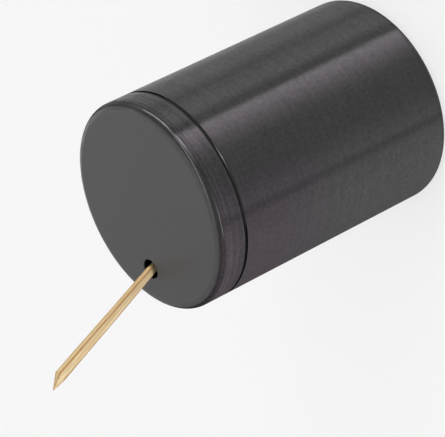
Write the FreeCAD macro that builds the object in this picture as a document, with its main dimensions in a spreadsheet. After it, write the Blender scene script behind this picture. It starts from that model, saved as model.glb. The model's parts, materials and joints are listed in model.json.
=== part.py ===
"""Round toothpick dispenser: a drawn steel can with a slip-on lid that has one dispensing hole.

The can stands on its base ring at z = 0 with its axis along +Z. The hole in the lid lies towards -Y.
All sizes are millimetres and all angles degrees. Every size is a named cell of the sheet.
"""
import FreeCAD, Part
import math
import os

import Sketcher

Vector = FreeCAD.Vector
Rotation = FreeCAD.Rotation
Z_AXIS = Vector(0, 0, 1)

doc = FreeCAD.newDocument("ToothpickDispenser")


# ---------------------------------------------------------------------------------------------
# Driving dimensions
# ---------------------------------------------------------------------------------------------

DIMENSIONS = (
    # can and lid, two drawn cups of one sheet thickness and one outer size
    ("can_radius", 26.0),
    ("can_height", 73.0),
    ("sheet_wall", 0.7),
    ("body_rim", 65.1),
    ("lid_rim", 65.6),
    ("lid_round", 2.0),
    ("base_round", 3.4),
    # cut corners of the sheet: inside the lid's shoulder, inside the base's corner, at both rims
    ("lid_inner_cut", 0.9),
    ("base_inner_cut", 2.0),
    ("rim_cut", 0.2),
    # the base is pushed in, so that the can stands on a ring
    ("recess_depth", 0.8),
    ("recess_flat", 16.8),
    ("recess_edge", 18.4),
    # dispensing hole in the lid
    ("hole_radius", 2.3),
    ("hole_offset", 16.9),
    ("hole_cut", 0.25),
    # moulded collar in the mouth of the can: sleeve below, flange in the seam, neck above
    ("collar_bottom", 56.6),
    ("collar_top", 71.2),
    ("collar_bore", 23.0),
    ("sleeve_radius", 25.1),
    ("flange_radius", 25.75),
    ("neck_radius", 25.15),
    ("neck_lead", 0.8),
    ("bore_lead", 0.6),
    # crush ribs that hold the sleeve in the can
    ("rib_count", 12),
    ("rib_radius", 25.29),
    ("rib_root", 24.8),
    ("rib_half_width", 0.5),
    ("rib_start", 57.8),
    ("rib_length", 6.6),
    # ring groove in the neck, and the silicone ring in it
    ("groove_low", 67.3),
    ("groove_high", 68.7),
    ("groove_radius", 24.05),
    ("ring_low", 67.42),
    ("ring_high", 68.58),
    ("ring_inner", 24.08),
    ("ring_outer", 25.24),
    ("ring_corner", 0.25),
    # toothpick: a flat strip with a cut tail, widest at the shoulder, bevelled to a tip on one edge
    ("pick_length", 65.0),
    ("bevel_length", 3.5),
    ("tail_half_width", 0.76),
    ("shoulder_half_width", 1.26),
    ("pick_half_depth", 0.76),
    ("tip_width", 0.2),
    ("tip_half_depth", 0.12),
    # the pick in the hole: where its axis crosses the lid, seen from the hole's centre, its lean
    # from the can's axis, the way it leans, its turn about itself and the length inside the can
    ("entry_across", -0.26),
    ("entry_along", -0.74),
    ("pick_lean", 19.3),
    ("pick_azimuth", -30.0),
    ("pick_turn", -46.0),
    ("pick_inside", 22.95),
    # the picks standing round the wall
    ("stock_count", 38),
    ("stock_foot_radius", 21.1),
    ("stock_top_radius", 21.75),
    ("stock_floor", 0.8),
)

sheet = doc.addObject("Spreadsheet::Sheet", "Dimensions")
for row, (alias, number) in enumerate(DIMENSIONS, start=1):
    sheet.set("A%d" % row, alias)
    sheet.set("B%d" % row, str(number))
    sheet.setAlias("B%d" % row, alias)
doc.recompute()


def terms(formula):
    """Split a sum such as "can_radius - sheet_wall" into (sign, alias) pairs."""
    sign = 1
    pairs = []
    for word in formula.split():
        if word == "-":
            sign = -1
        elif word == "+":
            sign = 1
        else:
            pairs.append((sign, word))
    return pairs


def size(formula):
    """Value of a sum of cells."""
    return sum(sign * float(sheet.get(alias)) for sign, alias in terms(formula))


def bound(formula):
    """The same sum as an expression that a property can follow."""
    words = []
    for sign, alias in terms(formula):
        words.append("-" if sign < 0 else "+")
        words.append("Dimensions." + alias)
    return " ".join(words).lstrip("+ ")


def follow(feature, **properties):
    """Bind properties of a feature to sums of cells."""
    for name, formula in properties.items():
        feature.setExpression(name, bound(formula))


# ---------------------------------------------------------------------------------------------
# Sketch and feature helpers
# ---------------------------------------------------------------------------------------------

def new_body(name):
    body = doc.addObject("PartDesign::Body", name)
    body.Label = name
    return body


def new_sketch(body, name, plane_role, height=None):
    """A sketch on one of the body's own origin planes, lifted to a height that follows the sheet."""
    sketch = body.newObject("Sketcher::SketchObject", name)
    plane = next(f for f in body.Origin.OriginFeatures if f.Role == plane_role)
    sketch.AttachmentSupport = [(plane, "")]
    sketch.MapMode = "FlatFace"
    if height:
        sketch.AttachmentOffset = FreeCAD.Placement(Vector(0, 0, size(height)), Rotation())
        sketch.setExpression("AttachmentOffset.Base.z", bound(height))
    return sketch


def pin_point(sketch, geometry, end, horizontal, vertical):
    """Hold one end of a line at two coordinates; an empty formula puts it on that axis."""
    for kind, axis, formula in (("DistanceX", -2, horizontal), ("DistanceY", -1, vertical)):
        if formula:
            limit = Sketcher.Constraint(kind, -1, 1, geometry, end, size(formula))
            index = sketch.addConstraint(limit)
            sketch.setExpression("Constraints[%d]" % index, bound(formula))
        else:
            sketch.addConstraint(Sketcher.Constraint("PointOnObject", geometry, end, axis))


def polygon(sketch, corners):
    """Add a closed outline whose corners are pairs of formulas."""
    points = [Vector(size(across), size(along), 0) for across, along in corners]
    first = sketch.GeometryCount
    count = len(points)
    for index in range(count):
        sketch.addGeometry(Part.LineSegment(points[index], points[(index + 1) % count]), False)
    for index in range(count):
        following = first + (index + 1) % count
        sketch.addConstraint(Sketcher.Constraint("Coincident", first + index, 2, following, 1))
    for index, (across, along) in enumerate(corners):
        pin_point(sketch, first + index, 1, across, along)


def circle(sketch, across, along, radius):
    """A circle whose centre and radius follow the sheet."""
    centre = Vector(size(across), size(along), 0)
    geometry = sketch.addGeometry(Part.Circle(centre, Z_AXIS, size(radius)), False)
    pin_point(sketch, geometry, 3, across, along)
    index = sketch.addConstraint(Sketcher.Constraint("Radius", geometry, size(radius)))
    sketch.setExpression("Constraints[%d]" % index, bound(radius))


def turn(body, sketch):
    """Turn a half section about the body's Z axis."""
    feature = body.newObject("PartDesign::Revolution", body.Name + "_turned")
    feature.Profile = sketch
    feature.ReferenceAxis = (sketch, ["V_Axis"])
    feature.Angle = 360
    doc.recompute()
    return feature


def ring_edges(feature, radius, height):
    """Names of the full circular edges of one radius at one height."""
    names = []
    for number, edge in enumerate(feature.Shape.Edges, start=1):
        if edge.Curve.TypeId != "Part::GeomCircle":
            continue
        same_radius = abs(edge.Curve.Radius - size(radius)) < 1e-3
        if same_radius and abs(edge.Curve.Center.z - size(height)) < 1e-3:
            names.append("Edge%d" % number)
    return names


def dress(body, kind, base, edges, amount):
    """A fillet or a chamfer on named edges."""
    feature = body.newObject("PartDesign::" + kind, "%s_%s" % (body.Name, kind.lower()))
    feature.Base = (base, edges)
    follow(feature, **{"Radius" if kind == "Fillet" else "Size": amount})
    doc.recompute()
    return feature


def flat_face(feature, height):
    """Name of the largest flat face at one height."""
    faces = [
        (face.Area, "Face%d" % number)
        for number, face in enumerate(feature.Shape.Faces, start=1)
        if face.Surface.TypeId == "Part::GeomPlane" and abs(face.CenterOfMass.z - size(height)) < 1e-3
    ]
    return max(faces)[1]


def hollow(body, base, open_height):
    """Leave the sheet's thickness inside the outer form, open at one flat face."""
    feature = body.newObject("PartDesign::Thickness", body.Name + "_sheet")
    feature.Base = (base, [flat_face(base, open_height)])
    feature.Join = "Intersection"
    feature.Reversed = True
    follow(feature, Value="sheet_wall")
    doc.recompute()
    return feature


# ---------------------------------------------------------------------------------------------
# Sheet-metal shells
# ---------------------------------------------------------------------------------------------

def make_body_shell():
    """Drawn can: round base corner, pushed-in base, straight wall up to a deburred rim."""
    body = new_body("body_shell")
    section = new_sketch(body, "can_section", "XZ_Plane")
    polygon(section, (
        ("", "recess_depth"),
        ("recess_flat", "recess_depth"),
        ("recess_edge", ""),
        ("can_radius", ""),
        ("can_radius", "body_rim"),
        ("", "body_rim"),
    ))
    solid = hollow(body, turn(body, section), "body_rim")
    inner_corner = ring_edges(solid, "can_radius - sheet_wall", "sheet_wall")
    solid = dress(body, "Chamfer", solid, inner_corner, "base_inner_cut")
    solid = dress(body, "Fillet", solid, ring_edges(solid, "can_radius", ""), "base_round")
    rim = ring_edges(solid, "can_radius", "body_rim")
    body.Tip = dress(body, "Chamfer", solid, rim, "rim_cut")
    return body


def make_lid_shell():
    """Drawn cap with a flat face, a round shoulder and one deburred dispensing hole."""
    body = new_body("lid_shell")
    section = new_sketch(body, "cap_section", "XZ_Plane")
    polygon(section, (
        ("", "lid_rim"),
        ("can_radius", "lid_rim"),
        ("can_radius", "can_height"),
        ("", "can_height"),
    ))
    solid = hollow(body, turn(body, section), "lid_rim")
    inner_corner = ring_edges(solid, "can_radius - sheet_wall", "can_height - sheet_wall")
    solid = dress(body, "Chamfer", solid, inner_corner, "lid_inner_cut")
    solid = dress(body, "Fillet", solid, ring_edges(solid, "can_radius", "can_height"), "lid_round")
    dress(body, "Chamfer", solid, ring_edges(solid, "can_radius", "lid_rim"), "rim_cut")

    outline = new_sketch(body, "hole_outline", "XY_Plane", "can_height")
    circle(outline, "", "- hole_offset", "hole_radius")
    hole = body.newObject("PartDesign::Pocket", "dispensing_hole")
    hole.Profile = outline
    follow(hole, Length="sheet_wall + sheet_wall")
    doc.recompute()
    body.Tip = dress(body, "Chamfer", hole, ring_edges(hole, "hole_radius", "can_height"), "hole_cut")
    return body


# ---------------------------------------------------------------------------------------------
# Collar and ring
# ---------------------------------------------------------------------------------------------

def make_neck_collar():
    """Moulded collar: a ribbed sleeve pressed into the can, a thin flange and the grooved neck."""
    body = new_body("neck_collar")
    section = new_sketch(body, "collar_section", "XZ_Plane")
    polygon(section, (
        ("collar_bore", "collar_bottom"),
        ("sleeve_radius", "collar_bottom"),
        ("sleeve_radius", "body_rim"),
        ("flange_radius", "body_rim"),
        ("flange_radius", "lid_rim"),
        ("neck_radius", "lid_rim"),
        ("neck_radius", "groove_low"),
        ("groove_radius", "groove_low"),
        ("groove_radius", "groove_high"),
        ("neck_radius", "groove_high"),
        ("neck_radius", "collar_top - neck_lead"),
        ("neck_radius - neck_lead", "collar_top"),
        ("collar_bore", "collar_top"),
    ))
    solid = turn(body, section)
    lips = ring_edges(solid, "collar_bore", "collar_top") + ring_edges(solid, "collar_bore", "collar_bottom")
    dress(body, "Chamfer", solid, lips, "bore_lead")

    outline = new_sketch(body, "rib_outline", "XY_Plane", "rib_start")
    polygon(outline, (
        ("rib_root", "- rib_half_width"),
        ("rib_radius", "- rib_half_width"),
        ("rib_radius", "rib_half_width"),
        ("rib_root", "rib_half_width"),
    ))
    rib = body.newObject("PartDesign::Pad", "crush_rib")
    rib.Profile = outline
    follow(rib, Length="rib_length")
    doc.recompute()
    ribs = body.newObject("PartDesign::PolarPattern", "crush_ribs")
    ribs.Originals = [rib]
    ribs.Axis = (outline, ["N_Axis"])
    ribs.Angle = 360
    follow(ribs, Occurrences="rib_count")
    body.Tip = ribs
    return body


def make_grip_ring():
    """Silicone ring in the neck's groove, with its outer corners cut, as it sits under the lid."""
    body = new_body("grip_ring")
    section = new_sketch(body, "ring_section", "XZ_Plane")
    polygon(section, (
        ("ring_inner", "ring_low"),
        ("ring_outer - ring_corner", "ring_low"),
        ("ring_outer", "ring_low + ring_corner"),
        ("ring_outer", "ring_high - ring_corner"),
        ("ring_outer - ring_corner", "ring_high"),
        ("ring_inner", "ring_high"),
    ))
    body.Tip = turn(body, section)
    return body


# ---------------------------------------------------------------------------------------------
# Toothpicks
# ---------------------------------------------------------------------------------------------

def make_pick(name):
    """One pick along +Z, its cut tail at the origin and its tip on the +X edge."""
    body = new_body(name)
    shoulder = "pick_length - bevel_length"
    face = new_sketch(body, name + "_face", "XZ_Plane")
    polygon(face, (
        ("- tail_half_width", ""),
        ("tail_half_width", ""),
        ("shoulder_half_width", shoulder),
        ("shoulder_half_width", "pick_length"),
        ("shoulder_half_width - tip_width", "pick_length"),
        ("- shoulder_half_width", shoulder),
    ))
    strip = body.newObject("PartDesign::Pad", name + "_strip")
    strip.Profile = face
    strip.SideType = "Symmetric"
    follow(strip, Length="pick_half_depth + pick_half_depth")
    doc.recompute()

    waste = new_sketch(body, name + "_waste", "YZ_Plane")
    polygon(waste, (
        ("pick_half_depth", shoulder),
        ("pick_half_depth", "pick_length"),
        ("tip_half_depth", "pick_length"),
    ))
    polygon(waste, (
        ("- pick_half_depth", shoulder),
        ("- tip_half_depth", "pick_length"),
        ("- pick_half_depth", "pick_length"),
    ))
    tip = body.newObject("PartDesign::Pocket", name + "_tip")
    tip.Profile = waste
    tip.Type = "ThroughAll"
    tip.SideType = "Symmetric"
    doc.recompute()
    body.Tip = tip
    return body


def place_in_hole(pick):
    """Lean the pick through the hole, with its tip outside."""
    lean = Rotation(Vector(0, 1, 0), size("pick_lean"))
    azimuth = Rotation(Z_AXIS, size("pick_azimuth"))
    pose = azimuth.multiply(lean).multiply(Rotation(Z_AXIS, size("pick_turn")))
    crossing = Vector(size("entry_across"), size("entry_along - hole_offset"), size("can_height"))
    along = pose.multVec(Z_AXIS)
    pick.Placement = FreeCAD.Placement(crossing - along * size("pick_inside"), pose)


def make_pick_stock(pick_shape):
    """The other picks, standing round the wall; every third one has its tip down."""
    count = int(size("stock_count"))
    step = 360.0 / count
    length = size("pick_length")
    tip_down = FreeCAD.Placement(Vector(0, 0, length), Rotation(Vector(1, 0, 0), 180))
    copies = []
    for number in range(count):
        angle = step * (number + 0.12 * math.sin(1.7 * number))
        sway = 1.2 * math.sin(2.0 * number)
        foot_radius = size("stock_foot_radius") + 0.2 * math.sin(3.1 * number)
        foot = Rotation(Z_AXIS, angle).multVec(Vector(foot_radius, 0, 0))
        top = Rotation(Z_AXIS, angle + sway).multVec(Vector(size("stock_top_radius"), 0, 0))
        rise = Rotation(Z_AXIS, top - foot + Z_AXIS * length)
        pose = rise.multiply(Rotation(Z_AXIS, angle + 90 + 8 * sway))
        stand = FreeCAD.Placement(foot + Z_AXIS * size("stock_floor"), pose)
        if number % 3 == 2:
            stand = stand.multiply(tip_down)
        copies.append(pick_shape.transformed(stand.Matrix, True))
    stock = doc.addObject("Part::Feature", "pick_stock")
    stock.Label = "pick_stock"
    stock.Shape = Part.makeCompound(copies)
    return stock


# ---------------------------------------------------------------------------------------------
# Assembly and export
# ---------------------------------------------------------------------------------------------

dispensed_pick = make_pick("dispensed_pick")
nodes = [
    make_body_shell(),
    make_neck_collar(),
    make_grip_ring(),
    make_lid_shell(),
    dispensed_pick,
    make_pick_stock(dispensed_pick.Shape),
]
place_in_hole(dispensed_pick)
doc.recompute()

for item in doc.Objects:
    if "Invalid" in item.State or "Error" in item.State:
        raise RuntimeError("%s failed: %s" % (item.Name, item.State))

os.makedirs("parts", exist_ok=True)
for node in nodes:
    shape = node.Shape
    if shape.isNull() or not shape.isValid():
        raise RuntimeError(node.Label + " has no valid shape")
    shape.exportStep("parts/%s.step" % node.Label)
    box = shape.BoundBox
    print("%-15s solids %2d  volume %9.2f  faces %3d  x %.2f..%.2f  y %.2f..%.2f  z %.2f..%.2f" % (
        node.Label, len(shape.Solids), shape.Volume, len(shape.Faces),
        box.XMin, box.XMax, box.YMin, box.YMax, box.ZMin, box.ZMax))
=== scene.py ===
"""Looks of the round toothpick dispenser: finishes, wooden picks, floor, light and camera.

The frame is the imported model's: the can stands on z = 0 with its axis along +Z and its dispensing
hole towards -Y. Materials and the scene are in metres. The toothpicks are worked out in
millimetres, from the sizes and places in the CAD source and a few values for their wear.
"""
import json
import math
import random

import bpy
from mathutils import Matrix, Vector, noise


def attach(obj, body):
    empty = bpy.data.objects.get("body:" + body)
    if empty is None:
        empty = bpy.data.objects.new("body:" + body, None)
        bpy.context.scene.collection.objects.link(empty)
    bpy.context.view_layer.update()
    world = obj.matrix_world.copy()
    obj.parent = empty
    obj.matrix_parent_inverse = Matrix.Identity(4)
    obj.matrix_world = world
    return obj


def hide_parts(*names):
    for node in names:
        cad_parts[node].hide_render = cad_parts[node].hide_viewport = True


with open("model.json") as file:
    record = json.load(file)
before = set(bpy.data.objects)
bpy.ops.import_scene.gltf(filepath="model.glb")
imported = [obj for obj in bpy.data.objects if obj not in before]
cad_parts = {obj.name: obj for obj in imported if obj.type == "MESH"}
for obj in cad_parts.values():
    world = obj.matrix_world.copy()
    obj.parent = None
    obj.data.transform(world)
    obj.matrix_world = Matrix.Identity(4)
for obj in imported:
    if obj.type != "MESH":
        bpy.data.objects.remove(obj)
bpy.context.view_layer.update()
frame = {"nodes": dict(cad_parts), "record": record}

MM = 0.001
scene = bpy.context.scene


# ---------------------------------------------------------------------------------------------
# Node helpers
# ---------------------------------------------------------------------------------------------

CAN_RADIUS = 0.026


def new_material(name):
    material = bpy.data.materials.new(name)
    material.use_nodes = True
    material.node_tree.nodes.clear()
    return material


def grey(level):
    return (level, level, level, 1.0)


class Tree:
    """Short calls for building a node tree."""

    def __init__(self, tree):
        self.tree = tree

    def node(self, kind, values=None, **settings):
        """A node; values go to its inputs by name or number, and outputs given there are linked."""
        made = self.tree.nodes.new("ShaderNode" + kind)
        for key, value in settings.items():
            setattr(made, key, value)
        for key, value in (values or {}).items():
            self.feed(made.inputs[key], value)
        return made

    def feed(self, socket, value):
        if isinstance(value, bpy.types.NodeSocket):
            self.tree.links.new(value, socket)
        else:
            socket.default_value = value

    def place(self):
        """The point on the object, in metres."""
        return self.node("TexCoord").outputs["Object"]

    def parts(self, vector):
        """The x, y and z of a vector."""
        return self.node("SeparateXYZ", {0: vector}).outputs

    def math(self, operation, first, second=0.0, third=0.0):
        made = self.node("Math", {0: first, 1: second, 2: third}, operation=operation)
        return made.outputs[0]

    def times(self, first, second):
        return self.math("MULTIPLY", first, second)

    def line(self, value, slope, start):
        """value * slope + start."""
        return self.math("MULTIPLY_ADD", value, slope, start)

    def fade(self, value, low, high):
        """0 on the side of low, 1 on the side of high and a smooth step between."""
        made = self.node("MapRange", {0: value, 1: low, 2: high, 3: 0.0, 4: 1.0},
                         interpolation_type="SMOOTHSTEP")
        return made.outputs[0]

    def band(self, value, low, high, soft):
        """1 between low and high and 0 outside, with edges as wide as soft."""
        return self.times(self.fade(value, low, low + soft), self.fade(value, high, high - soft))

    def along(self, vector, direction):
        """How far a vector reaches in a direction."""
        made = self.node("VectorMath", {0: vector, 1: direction}, operation="DOT_PRODUCT")
        return made.outputs["Value"]

    def facing(self, place, azimuth, low, high):
        """1 on the side of the can at this azimuth in degrees; the wall there is at 1.0."""
        angle = math.radians(azimuth)
        reach = (math.cos(angle) / CAN_RADIUS, math.sin(angle) / CAN_RADIUS, 0.0)
        return self.fade(self.along(place, reach), low, high)

    def scaled(self, vector, scale):
        return self.node("Mapping", {"Vector": vector, "Scale": scale}).outputs[0]

    def noise(self, vector, scale=1.0, detail=2.0, rough=0.5):
        made = self.node("TexNoise", {
            "Vector": vector, "Scale": scale, "Detail": detail, "Roughness": rough})
        return made.outputs[0]

    def blend(self, factor, first, second):
        """Mix of two colours."""
        made = self.node("Mix", {0: factor, 6: first, 7: second}, data_type="RGBA")
        return made.outputs[2]

    def shaded(self, colour, tone):
        """A colour times a tone."""
        made = self.node("Mix", {0: 1.0, 6: colour, 7: tone}, data_type="RGBA",
                         blend_type="MULTIPLY")
        return made.outputs[2]

    def bump(self, height, distance, strength, normal=None):
        made = self.node("Bump", {"Height": height, "Distance": distance, "Strength": strength})
        if normal is not None:
            self.feed(made.inputs["Normal"], normal)
        return made.outputs[0]

    def shader(self, kind, values):
        return self.node("Bsdf" + kind, values).outputs[0]

    def mixed(self, factor, first, second):
        """Mix of two shaders."""
        return self.node("MixShader", {0: factor, 1: first, 2: second}).outputs[0]

    def shine(self, surface):
        self.node("OutputMaterial", {"Surface": surface})


# ---------------------------------------------------------------------------------------------
# Finishes
# ---------------------------------------------------------------------------------------------

# heights of the seam between the can and the lid: the two rims, lighter as a painted highlight, the
# gap between them with the edges of the sheet that face it, painted black as shade, the collar's
# flange in it, which is also painted darker as shade, and where the skirt begins
RIMS = (0.06485, 0.06585)
GAP = (0.06479, 0.06536)
FLANGE = (0.06500, 0.06566)
SKIRT_START = (0.0653, 0.0657)

# the hole's axis, and how far from it the painted shade in the hole ends
HOLE_CENTRE = (0.0, -0.0169, 0.0)
HOLE_REACH = (0.00245, 0.00235)

# azimuths, in degrees from +X, of what the photo shows on one side only: a plum tint near the lid,
# a tight light line on the lid's rounded edge and a stretch of that edge painted darker as shade
PLUM_SIDE = -10.0
BURNISHED_SIDE = 50.0
SHADE_SIDE = 140.0

WALL_COAT = (grey(0.095), grey(0.101))
SKIRT_COAT = (0.0960, 0.0945, 0.0965, 1.0)
PLUM_TINT = (0.0970, 0.0840, 0.0950, 1.0)
FACE_COAT = ((0.130, 0.129, 0.132, 1.0), (0.155, 0.154, 0.157, 1.0))
# painted shade: the rounded edges are blended towards this black
SHADE_BLACK = grey(0.0)
# painted shade: the seam's gap and the inside of the hole are blackened with this
SEAM_HOLE_SHADE = grey(0.004)
# painted highlight on the rims
RIM_HIGHLIGHT = grey(0.20)
BARE_SPECK = grey(0.22)
BURNISHED = grey(0.075)


def wall_coat(t, place, height, bend, shaded_side, mottle, lines, wide):
    """Colour of the wall and the skirt.

    lines are the hairlines and wide is the coarser brushing; bend is 1 on the rounded edges, and
    dark is 1 on one side of them: both mark where shade is painted on those edges.
    """
    on_skirt = t.fade(height, *SKIRT_START)
    rings = t.noise(t.scaled(place, (12.0, 12.0, 1700.0)), rough=0.6)
    cloud = t.noise(place, 60.0, 3.0, 0.55)

    # how light the coat is: hairlines, clouds, mottling, and rings that are strong on the skirt
    mottle_depth = t.line(on_skirt, 0.15, 0.6)
    mottle_start = t.line(mottle_depth, -0.5, 1.0)
    ring_depth = t.line(on_skirt, 1.6, 0.12)
    tone = t.line(lines, 0.55, t.line(wide, 0.16, 0.645))
    tone = t.times(tone, t.line(cloud, 0.10, 0.95))
    tone = t.times(tone, t.line(mottle, mottle_depth, mottle_start))
    tone = t.times(tone, t.line(t.math("SUBTRACT", rings, 0.5), ring_depth, 1.0))

    # a plum tint towards the lid on one side
    plum = t.times(t.fade(height, 0.030, 0.056), t.facing(place, PLUM_SIDE, 0.62, 0.92))
    coat = t.blend(cloud, *WALL_COAT)
    coat = t.blend(on_skirt, coat, SKIRT_COAT)
    coat = t.blend(plum, coat, PLUM_TINT)
    coat = t.shaded(coat, tone)
    # painted shade: the rounded edges are made 30 % darker, and up to 60 % darker on one side
    coat = t.blend(t.line(bend, 0.30, t.times(shaded_side, 0.30)), coat, SHADE_BLACK)

    # painted highlight on the rims, broken up in patches like wear, and painted shade in the seam
    # and the hole
    worn = t.noise(place, 260.0, 3.0, 0.65)
    rim_highlight = t.times(t.band(height, *RIMS, 0.00015), t.fade(worn, 0.45, 0.62))
    # painted shade: the gap of the seam and the inside of the hole are made black
    gap = t.band(height, *GAP, 0.00007)
    from_hole = t.node("VectorMath", {0: t.scaled(place, (1.0, 1.0, 0.0)), 1: HOLE_CENTRE},
                       operation="DISTANCE").outputs["Value"]
    hole_shade = t.fade(from_hole, *HOLE_REACH)
    coat = t.blend(t.times(rim_highlight, 0.5), coat, RIM_HIGHLIGHT)
    return t.blend(t.math("MAXIMUM", gap, hole_shade), coat, SEAM_HOLE_SHADE)


def brushed_wall(t, place, height, tilt, bend, shaded_side, mottle):
    """The can's wall, the lid's skirt and the rounded edges, brushed round the axis."""
    fine = t.noise(t.scaled(place, (60.0, 60.0, 3600.0)), rough=0.6)
    hair = t.noise(t.scaled(place, (130.0, 130.0, 11000.0)), detail=1.0)
    lines = t.line(fine, 0.5, t.times(hair, 0.5))
    wide = t.noise(t.scaled(place, (22.0, 22.0, 900.0)), detail=3.0, rough=0.6)
    relief = t.bump(mottle, 0.00001, 1.0)
    relief = t.bump(wide, 0.00002, 0.25, relief)
    relief = t.bump(lines, 0.000006, 0.5, relief)
    wall = t.shader("Anisotropic", {
        "Color": wall_coat(t, place, height, bend, shaded_side, mottle, lines, wide),
        "Roughness": t.line(lines, 0.08, 0.35),
        "Anisotropy": 0.88,
        "Tangent": t.node("Tangent", direction_type="RADIAL", axis="Z").outputs[0],
        "Normal": relief,
    })

    # one side of the rounded edges is burnished: a tighter gloss, which shows a thin light line
    gloss = t.shader("Anisotropic", {"Color": BURNISHED, "Roughness": 0.19, "Anisotropy": 0.0})
    bent = t.fade(tilt, 0.26, 0.42)
    burnished = t.times(bent, t.facing(place, BURNISHED_SIDE, 0.70, 0.80))
    return t.mixed(t.times(burnished, 0.80), wall, gloss)


def satin_face(t, place, shaded_side, mottle):
    """The flat faces: an even fine grain with a few tiny specks."""
    grain = t.noise(place, 9000.0, 2.0, 0.6)
    spots = t.node("TexVoronoi", {"Vector": place, "Scale": 150.0, "Randomness": 1.0})
    specks = t.fade(spots.outputs["Distance"], 0.045, 0.028)
    smudge = t.noise(place, 90.0, 4.0, 0.6)
    uneven = t.line(mottle, 0.9, t.line(smudge, 0.9, -0.4))
    coat = t.blend(uneven, *FACE_COAT)
    coat = t.blend(t.times(specks, 0.5), coat, BARE_SPECK)
    # painted shade: the rounded edges are up to 60 % darker on one side, where they meet the faces
    coat = t.blend(t.times(shaded_side, 0.60), coat, SHADE_BLACK)
    return t.shader("Principled", {
        "Base Color": coat,
        "Metallic": 1.0,
        "Roughness": t.line(smudge, 0.10, 0.55),
        "Normal": t.bump(grain, 0.00001, 0.35),
    })


def make_gunmetal():
    """Dark coated steel: hairlines run round the wall and the skirt, and the faces are satin."""
    material = new_material("gunmetal brushed round")
    t = Tree(material.node_tree)
    place = t.place()
    height = t.parts(place)[2]
    mottle = t.noise(place, 1300.0)

    # tilt is 0 on the wall and 1 on a flat face, with the rounded edges between
    normal = t.node("TexCoord").outputs["Normal"]
    tilt = t.math("ABSOLUTE", t.parts(normal)[2])
    flat = t.fade(tilt, 0.72, 0.97)
    bend = t.fade(tilt, 0.02, 0.40)

    # painted shade: one side of the rounded edges is made darker
    rounded = t.times(bend, t.fade(tilt, 0.999, 0.96))
    shaded_side = t.times(rounded, t.facing(place, SHADE_SIDE, 0.70, 0.86))

    wall = brushed_wall(t, place, height, tilt, bend, shaded_side, mottle)
    face = satin_face(t, place, shaded_side, mottle)
    t.shine(t.mixed(flat, wall, face))
    return material


def make_black_plastic():
    """Moulded black plastic with a fine spark-eroded grain: satin, with a less shiny flange painted
    darker as shade.
    """
    material = new_material("black moulded plastic")
    t = Tree(material.node_tree)
    place = t.place()
    haze = t.noise(place, 120.0, 3.0)
    normal = t.bump(t.noise(place, 5200.0, 3.0, 0.6), 0.00001, 0.5)
    satin = t.shader("Principled", {
        "Base Color": t.blend(haze, grey(0.016), grey(0.024)),
        "Roughness": t.line(haze, 0.16, 0.34),
        "Specular IOR Level": 0.32,
        "Normal": normal,
    })
    # the flange in the seam: less shiny, and its black painted darker as shade
    shaded_flange = t.shader("Principled", {
        "Base Color": t.blend(haze, grey(0.005), grey(0.008)),
        "Roughness": 0.5,
        "Specular IOR Level": 0.08,
        "Normal": normal,
    })
    t.shine(t.mixed(t.band(t.parts(place)[2], *FLANGE, 0.00008), satin, shaded_flange))
    return material


def make_silicone():
    """Matt black silicone with faint dust."""
    material = new_material("black silicone")
    t = Tree(material.node_tree)
    dust = t.noise(t.place(), 1500.0, 3.0, 0.6)
    t.shine(t.shader("Principled", {
        "Base Color": t.blend(t.fade(dust, 0.55, 0.75), grey(0.014), grey(0.035)),
        "Roughness": t.line(dust, 0.2, 0.58),
        "Specular IOR Level": 0.3,
        "Normal": t.bump(dust, 0.00002, 0.4),
    }))
    return material


WOOD_FLAT = ((0.83, 0.70, 0.445, 1.0), (0.65, 0.50, 0.26, 1.0))
WOOD_NARROW = ((0.47, 0.41, 0.23, 1.0), (0.39, 0.31, 0.145, 1.0))
WOOD_FIBRE = (0.46, 0.27, 0.09, 1.0)
WOOD_PORE = (0.36, 0.19, 0.06, 1.0)
WOOD_CORNER_SHADE = (0.34, 0.16, 0.03, 1.0)
WOOD_TINT = (0.60, 0.40, 0.18, 1.0)


def make_wood():
    """Pale split wood: fibres along the pick, narrow sides darker by grain and painted shade,
    corners painted brown as shade.
    """
    material = new_material("pale birch wood")
    t = Tree(material.node_tree)
    grain = t.node("Attribute", attribute_name="grain").outputs["Vector"]
    side = t.node("Attribute", attribute_name="side").outputs["Fac"]
    corner = t.node("Attribute", attribute_name="corner").outputs["Fac"]
    tint = t.node("Attribute", attribute_name="tint").outputs["Fac"]
    fibre = t.noise(t.scaled(grain, (5200.0, 5200.0, 130.0)), detail=3.0, rough=0.6)
    vein = t.noise(t.scaled(grain, (1500.0, 1500.0, 38.0)), detail=3.0, rough=0.55)
    pore = t.noise(t.scaled(grain, (9000.0, 9000.0, 420.0)), detail=1.0)
    veins = t.fade(vein, 0.32, 0.68)
    # the narrow sides are darker: partly their edge grain, partly painted shade
    colour = t.blend(side, t.blend(veins, *WOOD_FLAT), t.blend(veins, *WOOD_NARROW))
    colour = t.blend(t.times(t.fade(fibre, 0.46, 0.68), 0.60), colour, WOOD_FIBRE)
    colour = t.blend(t.times(t.fade(pore, 0.62, 0.74), 0.45), colour, WOOD_PORE)
    # painted shade: a brown line along the pick's corners
    colour = t.blend(t.times(t.fade(corner, 0.1, 0.8), 0.85), colour, WOOD_CORNER_SHADE)
    colour = t.blend(t.times(tint, 0.35), colour, WOOD_TINT)
    relief = t.line(fibre, 0.7, t.times(pore, -0.3))
    t.shine(t.shader("Principled", {
        "Base Color": colour,
        "Roughness": t.line(fibre, 0.2, 0.55),
        "Specular IOR Level": 0.35,
        "Normal": t.bump(relief, 0.00004, 0.7),
    }))
    return material


# ---------------------------------------------------------------------------------------------
# Toothpicks
# ---------------------------------------------------------------------------------------------

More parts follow.
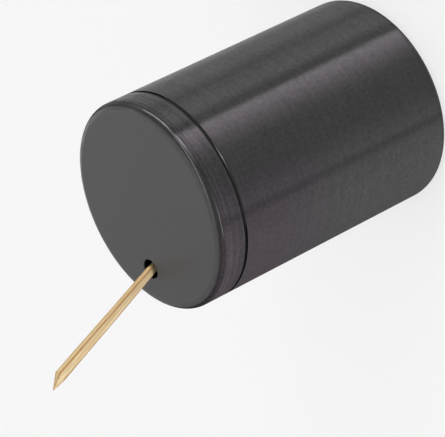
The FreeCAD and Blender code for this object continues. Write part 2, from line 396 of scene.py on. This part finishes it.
PICK_LENGTH = 65.0
BEVEL = 3.5
SHOULDER = PICK_LENGTH - BEVEL
TAIL_HALF_WIDTH = 0.76
SHOULDER_HALF_WIDTH = 1.26
HALF_DEPTH = 0.76
TIP_WIDTH = 0.2
TIP_HALF_DEPTH = 0.12
WORN_CORNER = 0.07
TIP_WORN_CORNER = 0.03

# what makes each pick a little different: a slow drift of its line that dies out near its ends,
# a surface that isn't quite even, and a tail that isn't cut quite flat
DRIFT = 0.035
DRIFT_END = 3.0
UNEVEN = 0.02
TAIL_UNEVEN = 0.10

# the pick in the hole: where its line crosses the lid's face, seen from the hole's centre, its lean
# and its azimuth, its turn about itself and the length of it inside the can
CAN_HEIGHT = 73.0
HOLE_OFFSET = 16.9
ENTRY_ACROSS = -0.26
ENTRY_ALONG = -0.74
PICK_LEAN = 19.3
PICK_AZIMUTH = -30.0
PICK_TURN = -46.0
PICK_INSIDE = 22.95

STOCK_COUNT = 38
STOCK_FOOT_RADIUS = 21.1
STOCK_TOP_RADIUS = 21.75
STOCK_FLOOR = 0.8


def between(start, end, part):
    return start + (end - start) * part


def pick_section(height):
    """(left edge, right edge, half depth, worn corner) of the strip at a height from its tail."""
    if height <= SHOULDER:
        half = between(TAIL_HALF_WIDTH, SHOULDER_HALF_WIDTH, height / SHOULDER)
        return -half, half, HALF_DEPTH, WORN_CORNER
    part = (height - SHOULDER) / BEVEL
    left = between(-SHOULDER_HALF_WIDTH, SHOULDER_HALF_WIDTH - TIP_WIDTH, part)
    half_depth = between(HALF_DEPTH, TIP_HALF_DEPTH, part)
    return left, SHOULDER_HALF_WIDTH, half_depth, between(WORN_CORNER, TIP_WORN_CORNER, part)


def section_points(height, wide, narrow):
    """Points round the strip, each with 1 on a narrow side and 1 on a corner.

    wide and narrow are how many points a wide and a narrow side have.
    """
    left, right, depth, corner = pick_section(height)
    centre = (left + right) / 2
    width = (right - left) / 2
    sides = (
        ((width, -depth + corner), (width, depth - corner), narrow, 1.0),
        ((width - corner, depth), (-width + corner, depth), wide, 0.0),
        ((-width, depth - corner), (-width, -depth + corner), narrow, 1.0),
        ((-width + corner, -depth), (width - corner, -depth), wide, 0.0),
    )
    points = []
    for start, end, count, on_narrow in sides:
        for step in range(count):
            part = step / (count - 1)
            x = between(start[0], end[0], part)
            y = between(start[1], end[1], part)
            on_corner = 1.0 if step in (0, count - 1) else 0.0
            points.append((centre + x, y, on_narrow, on_corner))
    return points


def pick_mesh(heights, wide, narrow, seed, bow):
    """One pick along +Z, its tail at the origin, bowed to one side in the middle.

    Gives its vertices, its faces, two marks for each vertex (1 on a narrow side, 1 on a corner) and
    its own place in the noise.
    """
    rng = random.Random(seed)
    shift = Vector((rng.uniform(-50, 50), rng.uniform(-50, 50), rng.uniform(-50, 50)))
    turn = rng.uniform(0, 2 * math.pi)
    verts = []
    sides = []
    corners = []
    for height in heights:
        bend = bow * math.sin(math.pi * height / PICK_LENGTH)
        held = min(1.0, height / DRIFT_END, (PICK_LENGTH - height) / DRIFT_END)
        drift = noise.noise(shift + Vector((0.0, 0.0, height * 0.09))) * DRIFT * held
        off_x = bend * math.cos(turn) + drift
        off_y = bend * math.sin(turn)
        for x, y, on_narrow, on_corner in section_points(height, wide, narrow):
            rough = noise.noise(shift + Vector((x * 2.1, y * 2.1, height * 0.35)))
            scale = 1.0 + UNEVEN * rough
            lift = 0.0
            if height == 0.0:
                lift = TAIL_UNEVEN * noise.noise(shift + Vector((x * 3.0, y * 3.0, 7.0)))
            verts.append((x * scale + off_x, y * scale + off_y, height + lift))
            sides.append(on_narrow)
            corners.append(on_corner)
    return verts, tube_faces(len(heights), len(verts) // len(heights)), sides, corners, shift


def tube_faces(rows, ring):
    """Faces of a closed tube of so many rows with ring points each."""
    faces = []
    for row in range(rows - 1):
        low = row * ring
        high = low + ring
        for own in range(ring):
            after = (own + 1) % ring
            faces.append((low + own, low + after, high + after, high + own))
    faces.append(tuple(reversed(range(ring))))
    faces.append(tuple(range((rows - 1) * ring, rows * ring)))
    return faces


def make_picks(name, picks, material):
    """One mesh of all the picks given as (matrix in mm, pick_mesh's result, tint)."""
    verts = []
    faces = []
    grain = []
    tones = {"side": [], "corner": [], "tint": []}
    for matrix, (own_verts, own_faces, sides, corners, shift), tint in picks:
        base = len(verts)
        for point in own_verts:
            verts.append((matrix @ Vector(point)) * MM)
            grain.extend((Vector(point) + shift) * MM)
        faces.extend(tuple(base + index for index in face) for face in own_faces)
        tones["side"].extend(sides)
        tones["corner"].extend(corners)
        tones["tint"].extend([tint] * len(own_verts))
    mesh = bpy.data.meshes.new(name)
    mesh.from_pydata(verts, [], faces)
    layer = mesh.attributes.new("grain", "FLOAT_VECTOR", "POINT")
    layer.data.foreach_set("vector", grain)
    for label, values in tones.items():
        layer = mesh.attributes.new(label, "FLOAT", "POINT")
        layer.data.foreach_set("value", values)
    mesh.materials.append(material)
    mesh.update()
    made = bpy.data.objects.new(name, mesh)
    scene.collection.objects.link(made)
    return made


def turned(axis, degrees):
    return Matrix.Rotation(math.radians(degrees), 4, axis)


def moved(x, y, z):
    return Matrix.Translation((x, y, z))


def pick_in_hole():
    """The dispensed pick's place: it leans through the hole with its tip outside."""
    pose = turned("Z", PICK_AZIMUTH) @ turned("Y", PICK_LEAN) @ turned("Z", PICK_TURN)
    entry = moved(ENTRY_ACROSS, ENTRY_ALONG - HOLE_OFFSET, CAN_HEIGHT)
    return entry @ pose @ moved(0, 0, -PICK_INSIDE)


def stock_places():
    """Where the other picks stand round the wall; every third one has its tip down."""
    places = []
    for number in range(STOCK_COUNT):
        angle = 360.0 / STOCK_COUNT * (number + 0.12 * math.sin(1.7 * number))
        sway = 1.2 * math.sin(2.0 * number)
        foot_radius = STOCK_FOOT_RADIUS + 0.2 * math.sin(3.1 * number)
        foot = turned("Z", angle) @ Vector((foot_radius, 0, 0))
        top = turned("Z", angle + sway) @ Vector((STOCK_TOP_RADIUS, 0, PICK_LENGTH))
        rise = Vector((0, 0, 1)).rotation_difference(top - foot).to_matrix().to_4x4()
        stand = moved(foot.x, foot.y, STOCK_FLOOR) @ rise @ turned("Z", angle + 90 + 8 * sway)
        if number % 3 == 2:
            stand = stand @ moved(0, 0, PICK_LENGTH) @ turned("X", 180)
        places.append(stand)
    return places


# ---------------------------------------------------------------------------------------------
# Object
# ---------------------------------------------------------------------------------------------

wood = make_wood()
finishes = {
    "gunmetal_steel": make_gunmetal(),
    "black_plastic": make_black_plastic(),
    "black_silicone": make_silicone(),
    "pale_wood": wood,
}
for subpart in frame["record"]["subparts"]:
    node = frame["nodes"][subpart["node"]]
    for slot in node.material_slots:
        slot.material = finishes[subpart["material_slot"]]

shaft = [0.0, 0.4] + [1.0 * step for step in range(1, 62)] + [SHOULDER]
bevel = [SHOULDER + BEVEL * step / 8 for step in range(1, 9)]
one = pick_mesh(shaft + bevel, wide=6, narrow=4, seed=4, bow=0.04)
leaving = make_picks("pick_leaving", [(pick_in_hole(), one, 0.0)], wood)
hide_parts("dispensed_pick")
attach(leaving, "pick")

shaft = [0.0, 0.6] + [4.0 * step for step in range(1, 16)] + [SHOULDER]
bevel = [SHOULDER + BEVEL * step / 3 for step in range(1, 4)]
tints = random.Random(11)
stock = []
for number, place in enumerate(stock_places()):
    own = pick_mesh(shaft + bevel, wide=3, narrow=3, seed=20 + number, bow=0.03)
    stock.append((place, own, tints.random()))
standing = make_picks("picks_standing", stock, wood)
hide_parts("pick_stock")
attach(standing, "can")


# ---------------------------------------------------------------------------------------------
# Floor, light and camera
# ---------------------------------------------------------------------------------------------

FLOOR_REACH = 12.0
FLOOR_WHITENESS = 0.7


def make_floor():
    """A pale floor that keeps the can's shadow, mixed with plain white where it is seen."""
    mesh = bpy.data.meshes.new("floor")
    corners = [
        (-FLOOR_REACH, -FLOOR_REACH, 0.0),
        (FLOOR_REACH, -FLOOR_REACH, 0.0),
        (FLOOR_REACH, FLOOR_REACH, 0.0),
        (-FLOOR_REACH, FLOOR_REACH, 0.0),
    ]
    mesh.from_pydata(corners, [], [(0, 1, 2, 3)])
    material = new_material("floor white")
    t = Tree(material.node_tree)
    lit = t.shader("Diffuse", {"Color": grey(0.92)})
    white = t.node("Emission", {"Color": grey(1.0), "Strength": 1.0}).outputs[0]
    ray = t.node("LightPath").outputs
    mirrored = t.math("MAXIMUM", ray["Is Glossy Ray"], ray["Is Transmission Ray"])
    seen = t.math("MAXIMUM", ray["Is Camera Ray"], mirrored)
    t.shine(t.mixed(t.times(seen, FLOOR_WHITENESS), lit, white))
    mesh.materials.append(material)
    floor = bpy.data.objects.new("floor", mesh)
    scene.collection.objects.link(floor)


# the studio's wall, as (azimuth in degrees from +X, brightness, tint): panels with darker gaps that
# are fitted to what the can reflects in the photo. A scratch script tuned the levels of a first
# version; they were then rounded and, with the azimuths, changed by hand in rounds of comparison
NEUTRAL = (1.0, 1.0, 1.0)
COOL = (0.985, 1.0, 1.03)
PINK = (1.03, 0.925, 1.015)
ROSE = (1.05, 0.86, 1.00)
STUDIO_WALL = (
    (0, 7.0, NEUTRAL), (24, 1.5, COOL), (38, 0.2, COOL), (48, 0.0, COOL), (54, 0.0, COOL),
    (66, 6.0, ROSE), (80, 19.0, ROSE), (87, 24.0, PINK), (91, 0.0, NEUTRAL), (97, 0.0, NEUTRAL),
    (107, 9.5, NEUTRAL), (120, 8.0, NEUTRAL), (127, 5.0, NEUTRAL), (140, 9.5, NEUTRAL),
    (158, 9.5, NEUTRAL), (182, 23.0, NEUTRAL), (208, 9.0, NEUTRAL), (225, 1.0, NEUTRAL),
    (243, 0.0, NEUTRAL), (260, 3.0, NEUTRAL), (290, 6.5, NEUTRAL), (320, 8.7, NEUTRAL),
    (347, 7.5, NEUTRAL), (353, 2.5, NEUTRAL), (360, 7.0, NEUTRAL),
)
CEILING = 0.5
STRIP = 7.5
# the world's strength is above the brightest panel, so that no colour on the ramp passes 1
STRENGTH = 25.2
# the strip draws the thin light line on the lid's rounded edge: it is the part of the sky that
# reaches this far in this direction, and it fades out between these distances from its middle. A
# scratch script worked out the direction and the reach from where the line lies in the photo
STRIP_ACROSS = (-0.657, 0.215, 0.723)
STRIP_OFFSET = 0.504
STRIP_WIDTH = (0.040, 0.015)


def make_world():
    """A pale round studio: panels round the walls, a dim ceiling and one thin strip above."""
    world = bpy.data.worlds.new("studio")
    scene.world = world
    world.use_nodes = True
    world.node_tree.nodes.clear()
    t = Tree(world.node_tree)
    out = t.node("TexCoord").outputs["Generated"]
    x, y, z = t.parts(out)
    turn = t.math("DIVIDE", t.math("ARCTAN2", y, x), 2 * math.pi)
    turn = t.math("FRACT", t.math("ADD", turn, 1.0))
    ramp = t.node("ValToRGB", {0: turn})
    elements = ramp.color_ramp.elements
    elements[0].position = 0.0
    elements[1].position = 1.0
    for row in STUDIO_WALL[1:-1]:
        elements.new(row[0] / 360.0)
    for element, (azimuth, level, (red, green, blue)) in zip(elements, STUDIO_WALL):
        share = level / STRENGTH
        element.color = (red * share, green * share, blue * share, 1.0)
    colour = t.blend(t.fade(z, 0.03, 0.27), ramp.outputs[0], grey(CEILING / STRENGTH))
    off_strip = t.math("SUBTRACT", t.along(out, STRIP_ACROSS), STRIP_OFFSET)
    strip = t.fade(t.math("ABSOLUTE", off_strip), *STRIP_WIDTH)
    strip = t.times(strip, t.fade(y, -0.5, 0.3))
    strip = t.times(strip, t.fade(x, -0.55, -0.42))
    strip = t.times(strip, t.fade(z, 0.0, 0.1))
    colour = t.blend(strip, colour, grey(STRIP / STRENGTH))
    back = t.node("Background", {0: colour, 1: STRENGTH})
    t.node("OutputWorld", {0: back.outputs[0]})


# the camera, fitted by a scratch script to the outline of the can and its lid in the photo: its
# axes, its place in mm and its focal length for a sensor 36 mm wide
CAMERA_RIGHT = (0.65854, -0.03618, -0.75168)
CAMERA_UP = (-0.38502, 0.84202, -0.37784)
CAMERA_BACK = (0.64660, 0.53823, 0.54057)
CAMERA_PLACE = (440.698, 353.892, 418.803)
SENSOR_WIDTH = 36.0
FOCAL_LENGTH = 231.342


def make_camera():
    data = bpy.data.cameras.new("camera")
    data.sensor_width = SENSOR_WIDTH
    data.lens = FOCAL_LENGTH
    camera = bpy.data.objects.new("camera", data)
    pose = Matrix((CAMERA_RIGHT, CAMERA_UP, CAMERA_BACK)).transposed().to_4x4()
    camera.matrix_world = Matrix.Translation(Vector(CAMERA_PLACE) * MM) @ pose
    scene.collection.objects.link(camera)
    scene.camera = camera


make_floor()
make_world()
make_camera()
scene.view_settings.view_transform = "Standard"
